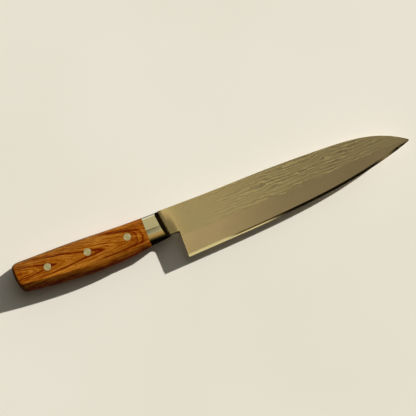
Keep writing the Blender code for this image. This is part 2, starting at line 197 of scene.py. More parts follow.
# Places worked out from the sizes
X_FRONT = X_JOINT + BOLSTER_LENGTH
X_HEEL = X_TIP - BLADE_LENGTH
X_CROWN = X_HEEL + CROWN_FROM_HEEL
Y_SPINE = Y_HEEL + HEEL_HEIGHT
Y_NECK = Y_SPINE - NECK_DEPTH
Y_STUB_TOP = Y_SPINE - STUB_DEPTH
Y_STUB_BOTTOM = Y_STUB_TOP - STUB_HEIGHT
X_TOP_FALL = X_BUTT + TOP_FALL_FROM_BUTT
X_SWELL = X_BUTT + SWELL_FROM_BUTT
X_REAR_FACET = X_BUTT + REAR_FACET_END
X_ROUNDEST = X_BUTT + ROUNDEST_FROM_BUTT
X_FRONT_FACET = X_BUTT + FRONT_FACET_START


def lerp(start, end, share):
    return start + (end - start) * share


def clamp(value):
    return min(max(value, 0.0), 1.0)


def smooth(share):
    share = clamp(share)
    return share * share * (3 - 2 * share)


# Blade shape


def along_blade(x):
    return clamp((x - X_HEEL) / BLADE_LENGTH)


def edge_y(x):
    belly_rise = HEEL_HEIGHT - TIP_DROP - TIP_WIDTH - EDGE_LIFT
    share = (x - X_HEEL) / BLADE_LENGTH
    return Y_HEEL + EDGE_LIFT * share + belly_rise * clamp(share) ** EDGE_BELLY_POWER


def spine_y(x):
    away = min(abs(x - X_CROWN) / CROWN_REACH, 1)
    crown = CROWN_HEIGHT * (1 - away**2) ** 2
    share = clamp(1 - (X_TIP - x) / SPINE_FALL_LENGTH)
    return Y_SPINE + crown - TIP_DROP * share**SPINE_FALL_POWER


def clad_share(x):
    """The clad line wanders a little, as layers do where they are ground through."""
    wave = sum(strength * math.sin(x * pace + phase) for pace, phase, strength in CLAD_WAVES)
    settle = smooth((x - X_HEEL) / CLAD_SETTLE)
    return (CLAD_LINE_HEIGHT + CLAD_WAVE * wave * settle) / HEEL_HEIGHT


def bevel_share(x):
    height = spine_y(x) - edge_y(x)
    return min(BEVEL_WIDTH / height, CLAD_LINE_HEIGHT / HEEL_HEIGHT / 2)


def spine_half(x):
    return lerp(SPINE_HALF, TIP_HALF, along_blade(x))


def ground_half(x, share):
    bevel = bevel_share(x)
    bevel_half = min(BEVEL_HALF, spine_half(x))
    if share <= bevel:
        return lerp(EDGE_HALF, bevel_half, share / bevel)
    above = (share - bevel) / (1 - bevel)
    return lerp(bevel_half, spine_half(x), above**GRIND_POWER)


def neck_rise(x, y):
    """The neck's faces sweep up a little to meet the bolster, slowly and then steeply."""
    share = clamp(1 - (x - bolster_front_x(y)) / NECK_FILLET)
    slow = NECK_SLOW_SHARE * share**2
    steep = (1 - NECK_SLOW_SHARE) * share**10
    return NECK_RISE * (slow + steep)


def face_half(x, share):
    full = smooth((X_HEEL - x) / NECK_LENGTH)
    half = lerp(ground_half(x, share), spine_half(x), full)
    return half + neck_rise(x, lerp(edge_y(x), spine_y(x), share))


def face_point(x, share):
    return lerp(edge_y(x), spine_y(x), share), face_half(x, share)


def core_profile(x):
    """Points (y, half thickness) of the core, from the edge to the spine.

    Its face is bare up to the clad line, and lies a few seams deeper behind the cladding.
    """
    bevel = bevel_share(x)
    clad = clad_share(x)
    points = [face_point(x, 0), face_point(x, bevel)]
    for step in range(1, CORE_STEPS + 1):
        points.append(face_point(x, lerp(bevel, clad, step / CORE_STEPS)))
    inside = ground_half(x, clad) - 3 * SEAM
    points.append((points[-1][0] + 4 * SEAM, inside))
    points.append((spine_y(x) - SPINE_EASE / 2, inside))
    return points


def cladding_profile(x):
    """Points (y, half thickness) round the cladding: up its face and back down its seam."""
    clad = clad_share(x)
    ease = SPINE_EASE / (spine_y(x) - edge_y(x))
    points = []
    for step in range(CLADDING_STEPS + 1):
        points.append(face_point(x, lerp(clad, 1 - ease, step / CLADDING_STEPS)))
    top_half = face_half(x, 1 - ease)
    for step in range(1, EASE_STEPS + 1):
        turn = math.pi / 2 * step / EASE_STEPS
        y = spine_y(x) - SPINE_EASE * (1 - math.sin(turn))
        points.append((y, top_half - SPINE_EASE_DEPTH * (1 - math.cos(turn))))
    seam = ground_half(x, clad) - 2 * SEAM
    points.append((spine_y(x), seam))
    points.append((points[0][0] + 3 * SEAM, seam))
    return points


def blade_columns():
    """Places along the blade, even in the rear and crowded towards the tip."""
    rear_end = X_HEEL + CHOIL_RADIUS
    columns = [lerp(X_STUB_END, rear_end, i / REAR_COLUMNS) for i in range(REAR_COLUMNS)]
    for i in range(BLADE_COLUMNS + 1):
        from_tip = (1 - i / BLADE_COLUMNS) ** TIP_CROWDING
        columns.append(lerp(X_TIP, rear_end, from_tip))
    return columns


def bolster_front_x(y):
    middle = Y_RIVETS + (BOLSTER_TOP_AT_FRONT - BOLSTER_BELLY_AT_FRONT) / 2
    height = BOLSTER_TOP_AT_FRONT + BOLSTER_BELLY_AT_FRONT
    return X_FRONT + BOLSTER_SLANT * (middle - y) / height


# Handle shape


def butt_inset(x, length, height):
    into = clamp((x - X_BUTT) / length)
    return height * (1 - math.sqrt(1 - (1 - into) ** 2))


def handle_top(x):
    fall = smooth((x - X_TOP_FALL) / TOP_FALL_LENGTH)
    rise = lerp(TOP_AT_REAR, TOP_AT_BOLSTER, fall)
    return Y_RIVETS + rise - butt_inset(x, BUTT_TOP_LENGTH, BUTT_TOP_HEIGHT)


def handle_belly(x):
    if x > X_SWELL:
        share = (x - X_SWELL) / (X_JOINT - X_SWELL)
        depth = lerp(BELLY_AT_SWELL, BELLY_AT_BOLSTER, share**BELLY_FRONT_POWER)
    else:
        share = (X_SWELL - x) / SWELL_FROM_BUTT
        depth = lerp(BELLY_AT_SWELL, BELLY_AT_BUTT, share**BELLY_REAR_POWER)
    return Y_RIVETS - depth + butt_inset(x, BUTT_BELLY_LENGTH, BUTT_BELLY_HEIGHT)


def handle_half(x):
    drawn_in = smooth(1 - (X_JOINT - x) / FRONT_TAPER_LENGTH)
    half = lerp(Z_CHEEK, BOLSTER_HALF, drawn_in)
    return half - butt_inset(x, BUTT_ROUND_LENGTH, BUTT_ROUND_DEPTH)


def along_belly(x, butt, roundest, front, bolster):
    """A size of the belly's section at x, blended between four places along the handle."""
    size = lerp(butt, roundest, smooth((x - X_REAR_FACET) / (X_ROUNDEST - X_REAR_FACET)))
    size = lerp(size, front, smooth((x - X_ROUNDEST) / (X_FRONT_FACET - X_ROUNDEST)))
    return lerp(size, bolster, smooth(1 - (X_JOINT - x) / FRONT_TAPER_LENGTH))


def belly_shape(x):
    """Widths and drops of the belly's slow curve off the cheek, and of its steep facet."""
    curve = along_belly(x, CURVE_AT_BUTT, CURVE_AT_ROUNDEST, CURVE_AT_BOLSTER, CURVE_AT_BOLSTER)
    curve_drop = along_belly(
        x,
        CURVE_DROP_AT_BUTT,
        CURVE_DROP_AT_ROUNDEST,
        CURVE_DROP_AT_BOLSTER,
        CURVE_DROP_AT_BOLSTER,
    )
    facet = along_belly(x, FACET_AT_BUTT, FACET_AT_ROUNDEST, FACET_AT_FRONT, FACET_AT_BOLSTER)
    facet_drop = along_belly(
        x,
        FACET_DROP_AT_BUTT,
        FACET_DROP_AT_ROUNDEST,
        FACET_DROP_AT_FRONT,
        FACET_DROP_AT_BOLSTER,
    )
    return curve, curve_drop, facet, facet_drop


def bolster_shape(belly):
    """The belly's section at the joint, its facet narrowed to keep the shoulder level."""
    curve, curve_drop, facet, facet_drop = belly_shape(X_JOINT)
    risen = belly - (Y_RIVETS - BELLY_AT_BOLSTER)
    left = 1 - risen / facet
    return curve, curve_drop, facet * left, facet_drop * left


def half_section(top, belly, half, inner, shape, steps):
    """Points (y, z) of half a handle section, from its spine side round to its belly.

    The cheek falls away in a slow curve to a shoulder, and from there in a steeper facet
    to the belly. They are shallower where the half is thin, to leave a low upright land.
    """
    room = half - inner - UPRIGHT_LAND
    spine_depth = min(SPINE_ROUND_DEPTH, room)
    curve, curve_drop, facet, facet_drop = shape
    held = min(1, room / (curve_drop + facet_drop))
    shoulder = belly + facet
    points = [(top, inner)]
    for step in range(steps + 1):
        turn = math.pi / 2 * step / steps
        y = top - SPINE_ROUND_HEIGHT * (1 - math.cos(turn))
        points.append((y, half - spine_depth * (1 - math.sin(turn))))
    for step in range(steps + 1):
        share = step / steps
        points.append((shoulder + curve * (1 - share), half - held * curve_drop * share**2))
    for step in range(1, FACET_STEPS + 1):
        share = step / FACET_STEPS
        down = curve_drop + facet_drop * share * lerp(FACET_FIRST_SLOPE, 1, share)
        points.append((shoulder - facet * share, half - held * down))
    points.append((belly, inner))
    return points


def handle_stations(count, end):
    """Places along the handle, closest where the butt is rounded."""
    corner = max(BUTT_TOP_LENGTH, BUTT_BELLY_LENGTH, BUTT_ROUND_LENGTH)
    turns = [math.pi / 2 * i / BUTT_STATIONS for i in range(BUTT_STATIONS)]
    rounded = [X_BUTT + corner * (1 - math.cos(turn)) for turn in turns]
    start = X_BUTT + corner
    return rounded + [lerp(start, end, i / count) for i in range(count + 1)]


# Mesh builders


def add_object(name, mesh):
    bmesh.ops.recalc_face_normals(mesh, faces=mesh.faces)
    data = bpy.data.meshes.new(name)
    mesh.to_mesh(data)
    mesh.free()
    made = bpy.data.objects.new(name, data)
    bpy.context.scene.collection.objects.link(made)
    return made


def lofted(rings, second_material=()):
    """Bmesh through closed rings, with flat ends. Ring places listed get the second material."""
    mesh = bmesh.new()
    loops = [[mesh.verts.new(point) for point in ring] for ring in rings]
    size = len(loops[0])
    for near, far in zip(loops, loops[1:]):
        for k in range(size):
            following = (k + 1) % size
            face = mesh.faces.new((near[k], near[following], far[following], far[k]))
            face.material_index = 1 if k in second_material else 0
    mesh.faces.new(loops[0])
    mesh.faces.new(loops[-1])
    return mesh


def extruded(name, outline, low, high):
    mesh = bmesh.new()
    face = mesh.faces.new([mesh.verts.new((x, y, low)) for x, y in outline])
    grown = bmesh.ops.extrude_face_region(mesh, geom=[face])
    raised = [item for item in grown["geom"] if isinstance(item, bmesh.types.BMVert)]
    bmesh.ops.translate(mesh, verts=raised, vec=(0, 0, high - low))
    return add_object(name, mesh)


def turned(name, centre, profile):
    turns = [2 * math.pi * k / TURN_STEPS for k in range(TURN_STEPS)]
    rings = []
    for radius, height in profile:
        ring = []
        for turn in turns:
            x = centre[0] + radius * math.cos(turn)
            y = centre[1] + radius * math.sin(turn)
            ring.append((x, y, Z_MID + height))
        rings.append(ring)
    return add_object(name, lofted(rings))


def carve(targets, cutters):
    """Take the cutters' shapes out of the targets for good, then delete the cutters."""
    for target in targets:
        for cutter in cutters:
            boolean = target.modifiers.new(cutter.name, "BOOLEAN")
            boolean.operation = "DIFFERENCE"
            boolean.solver = "EXACT"
            boolean.object = cutter
        graph = bpy.context.evaluated_depsgraph_get()
        carved = bpy.data.meshes.new_from_object(target.evaluated_get(graph))
        target.modifiers.clear()
        target.data = carved
    for cutter in cutters:
        bpy.data.objects.remove(cutter, do_unlink=True)


def shade(made, sharp_degrees):
    made.data.shade_smooth()
    made.data.set_sharp_from_angle(angle=math.radians(sharp_degrees))


def place(made, slot, nodes, materials):
    """Give a piece its materials and body, and hide the CAD nodes that it stands for."""
    for material in materials:
        made.data.materials.append(material)
    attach(made, "root")
    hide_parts(*nodes)


# Node helpers


class Nodes:
    """Short calls for building a shader tree."""

    def __init__(self, tree):
        self.tree = tree
        self.coords = None

    def add(self, kind, inputs=None, output=0, **settings):
        node = self.tree.nodes.new(kind)
        for key, value in settings.items():
            setattr(node, key, value)
        for key, value in (inputs or {}).items():
            self.feed(node.inputs[key], value)
        return node.outputs[output]

    def feed(self, socket, value):
        if isinstance(value, bpy.types.NodeSocket):
            self.tree.links.new(value, socket)
        else:
            socket.default_value = value

    def math(self, operation, a, b=0.0, c=0.0):
        return self.add("ShaderNodeMath", {0: a, 1: b, 2: c}, operation=operation)

    def ramp(self, value, low, high, to_low=0.0, to_high=1.0, curve="SMOOTHSTEP"):
        inputs = {"Value": value, 1: low, 2: high, 3: to_low, 4: to_high}
        return self.add("ShaderNodeMapRange", inputs, interpolation_type=curve)

    def mix(self, factor, a, b, blend="MIX"):
        inputs = {0: factor, 6: a, 7: b}
        return self.add(
            "ShaderNodeMix", inputs, output=2, data_type="RGBA", blend_type=blend
        )

    def position(self):
        """Object coordinates in millimetres."""
        if self.coords is None:
            metres = self.add("ShaderNodeTexCoord", output=3)
            scale = (1000, 1000, 1000)
            self.coords = self.add("ShaderNodeMapping", {"Vector": metres, "Scale": scale})
        return self.coords

    def stretched(self, x, y, z, at=None, offset=(0, 0, 0)):
        vector = self.position() if at is None else at
        inputs = {"Vector": vector, "Scale": (x, y, z), "Location": offset}
        return self.add("ShaderNodeMapping", inputs)

    def noise(self, vector, detail=2.0, roughness=0.5, output=0):
        inputs = {"Vector": vector, "Scale": 1.0, "Detail": detail, "Roughness": roughness}
        return self.add("ShaderNodeTexNoise", inputs, output=output)

    def window(self, value, low, high, soft):
        """1 between low and high, fading to 0 over soft beyond either."""
        rise = self.ramp(value, low - soft, low)
        fall = self.ramp(value, high, high + soft, 1.0, 0.0)
        return self.math("MULTIPLY", rise, fall)

    def stops(self, value, low, high, *colours):
        """Colours evenly spaced from low to high, blended in between."""
        share = self.ramp(value, low, high, curve="LINEAR")
        node = self.tree.nodes.new("ShaderNodeValToRGB")
        elements = node.color_ramp.elements
        elements[0].color = (*colours[0], 1)
        elements[1].color = (*colours[-1], 1)
        for step, colour in enumerate(colours[1:-1], start=1):
            elements.new(step / (len(colours) - 1)).color = (*colour, 1)
        self.feed(node.inputs[0], share)
        return node.outputs[0]

    def split(self, vector):
        node = self.tree.nodes.new("ShaderNodeSeparateXYZ")
        self.feed(node.inputs[0], vector)
        return node.outputs


def rgb(red, green, blue):
    """Linear colour of an sRGB colour written 0 to 255."""
    def linear(value):
        value /= 255
        return value / 12.92 if value <= 0.04045 else ((value + 0.055) / 1.055) ** 2.4

    return (linear(red), linear(green), linear(blue), 1.0)


def new_material(name):
    material = bpy.data.materials.new(name)
    material.use_nodes = True
    nodes = Nodes(material.node_tree)
    return material, nodes, material.node_tree.nodes["Principled BSDF"]


def bump(nodes, shader, height, distance, strength=1.0):
    inputs = {"Height": height, "Distance": distance, "Strength": strength}
    nodes.feed(shader.inputs["Normal"], nodes.add("ShaderNodeBump", inputs))


# Materials

# Pitches of the cladding's ripples, and where the blade's looks and painted reflections change, in
# millimetres
LAYER_PITCH = 2.3
HAIR_PITCH = 0.85
PATTERN_STARTS = (-12.0, 48.0)
PATTERN_ENDS = (112.0, 142.0)
CORE_PAINTED_REFLECTION_FADES = (-20.0, 50.0)
DARK_REFLECTION_SPAN = (14.0, 60.0)
DARK_REFLECTION_FROM_EDGE = (0.8, 1.2)

# Colours of the metals, with painted reflection and painted shade among them. Noise blends the two
# of a pair.
CORE_PAINTED_REFLECTION_AT_HEEL = (0.89, 0.775, 0.615, 1)
CORE_FORWARD = (0.73, 0.64, 0.52, 1)
CORE_CLOUD = (0.91, 0.91, 0.91, 1)
BEVEL_POLISH = (0.82, 0.77, 0.64, 1)
BEVEL_PAINTED_DARK_REFLECTION = (0.09, 0.05, 0.02, 1)
NECK_PAINTED_SHADE = (0.01, 0.008, 0.004, 1)
DARK_LAYER = (0.57, 0.50, 0.42, 1)
LIGHT_LAYER = (0.99, 0.93, 0.66, 1)
BOLSTER_POLISH = (0.82, 0.80, 0.72, 1)
BOLSTER_PAINTED_DARK = (0.10, 0.09, 0.06, 1)
FRONT_PAINTED_DARK = ((0.0032, 0.0020, 0.0008, 1), (0.0018, 0.0010, 0.0004, 1))
TANG_GREY = (0.56, 0.53, 0.47, 1)
NICKEL_SILVER = ((0.90, 0.84, 0.62, 1), (0.80, 0.73, 0.52, 1))

# Figure in the wood, in millimetres: dark flames nested about a tilted axis, and
# blunt arches by the bolster. Each is given by the place of its nose and its width.
AXIS_Y = 2.16
AXIS_TILT = 0.06
FLAME_SLOPE_ABOVE = 0.13
FLAME_SLOPE_BELOW = 0.105
FLAME_BLUNTNESS = 14.0
FLAMES = ((-82.0, 9.0), (-119.0, 5.5))
ARCH_HEIGHT_ABOVE = 4.7
ARCH_HEIGHT_BELOW = 2.7
ARCH_STEEPNESS = 1.1
ARCHES = ((-57.4, 0.6), (-53.0, 1.0))

# Border of the painted shade on the butt: its x at the middle of the frame, and its lean
BUTT_SHADE_FROM = -146.8
BUTT_SHADE_LEAN = 0.26

# Where the wood's tone changes, and where painted sheen and painted shade lie on it, in millimetres:
# along x, up y, and down from the cheek
WOOD_LIGHTENS = (-138.0, -112.0)
WOOD_DARKENS = (-72.0, -56.0)
SAPWOOD_ENDS = (-100.0, -80.0)
SAPWOOD_HEIGHT = (-2.4, -1.0)
SAPWOOD_TILT = 0.035
SHEEN_FADES = (-95.0, -70.0)
SHEEN_HEIGHT = (13.0, 16.0)
SHEEN_DEPTH = (1.2, 2.6)
BELLY_PAINTED_SHADE = (1.5, 6.0)
SHEAR_WITH_DEPTH = 0.22

# Colours of the wood, from its darkest lines to its palest, its painted sheen and painted shade, and
# of the table
WOOD_TONES = tuple(
    rgb(*colour)[:3]
    for colour in ((92, 25, 1), (118, 50, 4), (139, 77, 10), (155, 92, 18), (182, 120, 42))
)
SPINE_PAINTED_SHEEN = rgb(100, 88, 56)
BUTT_PAINTED_SHADE = rgb(66, 34, 7)
TABLE_TONES = (rgb(229, 224, 211), rgb(224, 219, 205))


def satin_lines(nodes, across=9.0, along=0.15):
    """Fine scratches left by grinding across the blade, 0 to 1."""
    return nodes.noise(nodes.stretched(across, along, across), detail=3.0)


def satin_roughness(nodes, x, lines):
    """Satin over the blade, polished in the neck."""
    satin = nodes.ramp(lines, 0.3, 0.7, 0.19, 0.26)
    polish = nodes.ramp(x, (X_FRONT + 3 * MM) / MM, (X_HEEL + 10 * MM) / MM)
    return nodes.math("MULTIPLY", satin, nodes.math("MULTIPLY_ADD", polish, 0.6, 0.4))


def core_steel():
    """Satin core steel, with painted reflection that makes it a little brighter towards the heel."""
    material, nodes, shader = new_material("core_steel")
    lines = satin_lines(nodes)
    x, y, z = nodes.split(nodes.position())
    cloud = nodes.noise(nodes.stretched(0.03, 0.05, 0.05), detail=3.0)
    # Painted reflection: the core's colour is brighter towards the heel.
    colour = nodes.mix(nodes.ramp(x, *CORE_PAINTED_REFLECTION_FADES), CORE_PAINTED_REFLECTION_AT_HEEL, CORE_FORWARD)
    clouded = nodes.mix(1.0, colour, CORE_CLOUD, blend="MULTIPLY")
    colour = nodes.mix(nodes.ramp(cloud, 0.3, 0.7), colour, clouded)
    nodes.feed(shader.inputs["Base Color"], colour)
    nodes.feed(shader.inputs["Roughness"], satin_roughness(nodes, x, lines))
    shader.inputs["Metallic"].default_value = 1.0
    bump(nodes, shader, lines, 0.002 * MM)
    return material


def above_edge(nodes, x, y):
    """Height above the cutting edge, in millimetres."""
    share = nodes.math("SUBTRACT", x, X_HEEL / MM)
    share = nodes.math("MAXIMUM", nodes.math("DIVIDE", share, BLADE_LENGTH / MM), 0.0)
    rise = (HEEL_HEIGHT - TIP_DROP - TIP_WIDTH - EDGE_LIFT) / MM
    edge = nodes.math("MULTIPLY_ADD", share, EDGE_LIFT / MM, Y_HEEL / MM)
    curve = nodes.math("POWER", share, EDGE_BELLY_POWER)
    edge = nodes.math("MULTIPLY_ADD", curve, rise, edge)
    return nodes.math("SUBTRACT", y, edge)


def bevel_steel():
    """Polished bevel, with a painted dark reflection along its top forward of the heel."""
    material, nodes, shader = new_material("bevel_steel")
    lines = satin_lines(nodes, across=14.0)
    x, y, z = nodes.split(nodes.position())
    # Painted reflection: a dark line along the bevel's top, forward of the heel.
    dark_reflection = nodes.ramp(above_edge(nodes, x, y), *DARK_REFLECTION_FROM_EDGE)
    dark_reflection = nodes.math("MULTIPLY", dark_reflection, nodes.window(x, *DARK_REFLECTION_SPAN, 14.0))
    nodes.feed(shader.inputs["Base Color"], nodes.mix(dark_reflection, BEVEL_POLISH, BEVEL_PAINTED_DARK_REFLECTION))
    shader.inputs["Metallic"].default_value = 1.0
    nodes.feed(shader.inputs["Roughness"], nodes.ramp(lines, 0.3, 0.7, 0.04, 0.07))
    bump(nodes, shader, lines, 0.0006 * MM)
    return material


def choil_shade(nodes, x, y, colour):
    """Painted shade: a dark strip along the neck's underside."""
    under = nodes.ramp(y, Y_NECK / MM + 0.3, Y_NECK / MM + 1.0, 1.0, 0.0)
    behind = nodes.ramp(x, X_HEEL / MM - 0.4, X_HEEL / MM + 0.3, 1.0, 0.0)
    return nodes.mix(nodes.math("MULTIPLY", under, behind), colour, NECK_PAINTED_SHADE)


def layer_ripple(nodes, x, y):
    """Height of the etched layers, -1 to 1: faint by the bolster, and fading at the tip."""
    broad = nodes.noise(nodes.stretched(0.03, 0.10, 0.0), detail=2.0)
    fine = nodes.noise(nodes.stretched(0.17, 0.50, 0.0, offset=(7, 3, 0)), detail=3.0)
    height = nodes.math("MULTIPLY_ADD", broad, 7.5, y)
    height = nodes.math("MULTIPLY_ADD", fine, 3.2, height)
    layers = nodes.math("SINE", nodes.math("MULTIPLY", height, 2 * math.pi / LAYER_PITCH))
    hairs = nodes.math("SINE", nodes.math("MULTIPLY", height, 2 * math.pi / HAIR_PITCH))
    patch = nodes.noise(nodes.stretched(0.08, 0.16, 0.0, offset=(31, 11, 0)), detail=3.0)
    patch = nodes.ramp(patch, 0.36, 0.62, 0.15, 1.0)
    shown = nodes.math("MULTIPLY", nodes.ramp(x, *PATTERN_STARTS, 0.12, 1.0), patch)
    shown = nodes.math("MULTIPLY", nodes.ramp(x, *PATTERN_ENDS, 1.0, 0.25), shown)
    ripple = nodes.math("MULTIPLY_ADD", hairs, 0.4, layers)
    return nodes.math("MULTIPLY", nodes.ramp(ripple, -1.1, 1.1, -1.0, 1.0), shown)


def cladding_steel():
    """Satin layered steel: low, fine ripples that run along the blade, and painted shade along the
    neck's underside.
    """
    material, nodes, shader = new_material("cladding_steel")
    x, y, z = nodes.split(nodes.position())
    ripple = layer_ripple(nodes, x, y)
    lines = satin_lines(nodes)
    light = nodes.ramp(ripple, -1.0, 1.0, curve="LINEAR")
    colour = nodes.mix(light, DARK_LAYER, LIGHT_LAYER)
    # Painted shade along the neck's underside.
    nodes.feed(shader.inputs["Base Color"], choil_shade(nodes, x, y, colour))
    rough = nodes.math("MULTIPLY_ADD", ripple, 0.02, satin_roughness(nodes, x, lines))
    nodes.feed(shader.inputs["Roughness"], rough)
    shader.inputs["Metallic"].default_value = 1.0
    relief = nodes.math("MULTIPLY_ADD", ripple, 4.0, lines)
    bump(nodes, shader, relief, 0.0015 * MM)
    return material


def below_cheek(nodes, half):
    """Depth in millimetres below the nearer cheek of a piece whose half thickness is half."""
    x, y, z = nodes.split(nodes.position())
    height = nodes.math("ABSOLUTE", nodes.math("SUBTRACT", z, Z_MID / MM))
    return nodes.math("SUBTRACT", half / MM, height)


def polished_steel():
    """Mirror polish on the cheeks, with painted dark reflection on the rounds and facets that fall
    away from them.
    """
    material, nodes, shader = new_material("bolster_steel")
    # Painted reflection: the rounds and facets below the cheeks are coloured dark.
    painted_dark_mask = nodes.ramp(below_cheek(nodes, BOLSTER_HALF), 0.45, 1.3, 0.0, 0.93)
    nodes.feed(shader.inputs["Base Color"], nodes.mix(painted_dark_mask, BOLSTER_POLISH, BOLSTER_PAINTED_DARK))
    shader.inputs["Metallic"].default_value = 1.0
    lines = nodes.noise(nodes.stretched(0.4, 12.0, 12.0), detail=3.0)
    smear = nodes.noise(nodes.stretched(0.2, 0.2, 0.2), detail=4.0)
    rough = nodes.math("MULTIPLY_ADD", nodes.ramp(smear, 0.4, 0.7), 0.03, 0.06)
    rough = nodes.math("MULTIPLY_ADD", nodes.ramp(lines, 0.4, 0.8), 0.03, rough)
    nodes.feed(shader.inputs["Roughness"], rough)
    bump(nodes, shader, lines, 0.0004 * MM)
    return material


def bolster_front_steel():
    """The bolster's front: a painted dark reflection, near black, beside its polished cheeks."""
    material, nodes, shader = new_material("bolster_front_steel")
    smear = nodes.noise(nodes.stretched(0.4, 0.4, 0.4), detail=4.0)
    # Painted reflection: near black, with no shine of its own.
    colour = nodes.mix(nodes.ramp(smear, 0.35, 0.7), *FRONT_PAINTED_DARK)
    nodes.feed(shader.inputs["Base Color"], colour)
    nodes.feed(shader.inputs["Roughness"], nodes.ramp(smear, 0.3, 0.7, 0.35, 0.5))
    shader.inputs["Specular IOR Level"].default_value = 0.0
    return material


def tang_steel():
    """Ground edge of the tang, with lines along the handle."""
    material, nodes, shader = new_material("tang_steel")
    shader.inputs["Base Color"].default_value = TANG_GREY
    shader.inputs["Metallic"].default_value = 1.0
    lines = nodes.noise(nodes.stretched(0.3, 9.0, 9.0), detail=3.0)
    nodes.feed(shader.inputs["Roughness"], nodes.ramp(lines, 0.3, 0.7, 0.34, 0.5))
    bump(nodes, shader, lines, 0.003 * MM)
    return material


def rivet_metal():
    """Nickel silver, ground flush with the scales."""
    material, nodes, shader = new_material("rivet_metal")
    grain = nodes.noise(nodes.stretched(1.2, 6.0, 6.0), detail=3.0)
    colour = nodes.mix(nodes.ramp(grain, 0.35, 0.7), *NICKEL_SILVER)
    nodes.feed(shader.inputs["Base Color"], colour)
    shader.inputs["Metallic"].default_value = 1.0
    nodes.feed(shader.inputs["Roughness"], nodes.ramp(grain, 0.3, 0.7, 0.22, 0.34))
    bump(nodes, shader, grain, 0.002 * MM)
    return material


def off_axis(nodes, x, y, above, below):
    """Distance from the figure's axis, in its own unit on either side."""
    axis = nodes.math("MULTIPLY_ADD", x, -AXIS_TILT, AXIS_Y)
    away = nodes.math("SUBTRACT", y, axis)
    over = nodes.math("MAXIMUM", nodes.math("DIVIDE", away, above), 0.0)
    under = nodes.math("MAXIMUM", nodes.math("DIVIDE", away, -below), 0.0)
    return nodes.math("ADD", over, under)


def flame_noses(nodes, x, across):
    """Where the nose of the flame through each point lies: pointed, with spreading legs."""
    blunt = nodes.math("MULTIPLY_ADD", across, across, FLAME_BLUNTNESS**2)
    reach = nodes.math("SUBTRACT", nodes.math("SQRT", blunt), FLAME_BLUNTNESS)
    return nodes.math("ADD", x, reach)


def arch(nodes, x, y, nose, width):
    """A dark line with a blunt nose and level legs that fade out towards the butt."""
    across = off_axis(nodes, x, y, ARCH_HEIGHT_ABOVE, ARCH_HEIGHT_BELOW)
    steep = nodes.math("MULTIPLY", nodes.math("POWER", across, 3.0), ARCH_STEEPNESS)
    steep = nodes.math("SQRT", nodes.math("MULTIPLY_ADD", steep, steep, 1.0))
    beyond = nodes.math("SUBTRACT", nodes.math("ADD", x, nodes.math("POWER", across, 4.0)), nose)
    line = nodes.window(nodes.math("DIVIDE", beyond, steep), -width, 0.0, 0.5)
    return nodes.math("MULTIPLY", line, nodes.ramp(x, nose - 44, nose - 8, 0.10, 0.44))


def painted_butt_shade(nodes):
    """Painted shade on the butt, up to a border that leans towards the belly."""
    x, y, z = nodes.split(nodes.position())
    leaning = nodes.math("MULTIPLY_ADD", y, BUTT_SHADE_LEAN, x)
    return nodes.ramp(leaning, BUTT_SHADE_FROM - 0.4, BUTT_SHADE_FROM + 0.3, 0.8, 0.0)


def warped_place(nodes, seed):
    """Place in the wood, bent a little so that no line of the figure runs true."""
    warp = nodes.noise(nodes.stretched(0.06, 0.20, 0.2, offset=(seed, 9, 5)), 3.0, output=1)
    centred = {0: warp, 1: (0.5, 0.5, 0.5)}
    warp = nodes.add("ShaderNodeVectorMath", centred, operation="SUBTRACT")
    warp = nodes.stretched(7.0, 1.9, 0.0, at=warp)
    warped = nodes.add("ShaderNodeVectorMath", {0: nodes.position(), 1: warp}, operation="ADD")
    x, y, z = nodes.split(warped)
    below_top = nodes.math("SUBTRACT", Z_TOP / MM, z)
    return x, nodes.math("MULTIPLY_ADD", below_top, SHEAR_WITH_DEPTH, y), z


def growth(nodes, noses, x, across, along, depth):
    """Growth lines that run with the flames, as noise 0 to 1."""
    place = {0: nodes.math("MULTIPLY", noses, across), 1: nodes.math("MULTIPLY", x, along), 2: depth}
    return nodes.noise(nodes.add("ShaderNodeCombineXYZ", place), 4.0, 0.62)


def flame(nodes, x, noses, nose, width):
    """A dark flame with a sharp nose, which fades out towards the butt."""
    dark = nodes.math(
        "MULTIPLY",
        nodes.ramp(noses, nose - 0.4, nose + 0.6, 1.0, 0.0),
        nodes.ramp(noses, nose - 1.6 * width, nose - 0.5 * width),
    )
    return nodes.math("MULTIPLY", dark, nodes.ramp(x, nose - 60, nose - 12, 0.30, 0.62))


def pale_streak(nodes, x, y):
    """Sapwood just above the belly, in the rear of the handle."""
    level = nodes.math("MULTIPLY_ADD", x, SAPWOOD_TILT, y)
    streak = nodes.window(level, *SAPWOOD_HEIGHT, 0.9)
    return nodes.math("MULTIPLY", streak, nodes.ramp(x, *SAPWOOD_ENDS, 0.30, 0.0))


def wood_level(nodes, x):
    """Plain tone of the wood, darker at both ends of the handle."""
    rear = nodes.ramp(x, *WOOD_LIGHTENS, 0.84, 1.0)
    level = nodes.math("MULTIPLY", rear, nodes.ramp(x, *WOOD_DARKENS, 1.0, 0.82))
    return nodes.math("MULTIPLY", level, 0.55)


def painted_spine_sheen(nodes, x, y, depth):
    """Painted sheen: greyed wood on the spine's round, most of all in the rear of the handle."""
    sheen_mask = nodes.window(depth, *SHEEN_DEPTH, 1.6)
    sheen_mask = nodes.math("MULTIPLY", sheen_mask, nodes.ramp(y, *SHEEN_HEIGHT))
    return nodes.math("MULTIPLY", sheen_mask, nodes.ramp(x, *SHEEN_FADES, 0.6, 0.2))


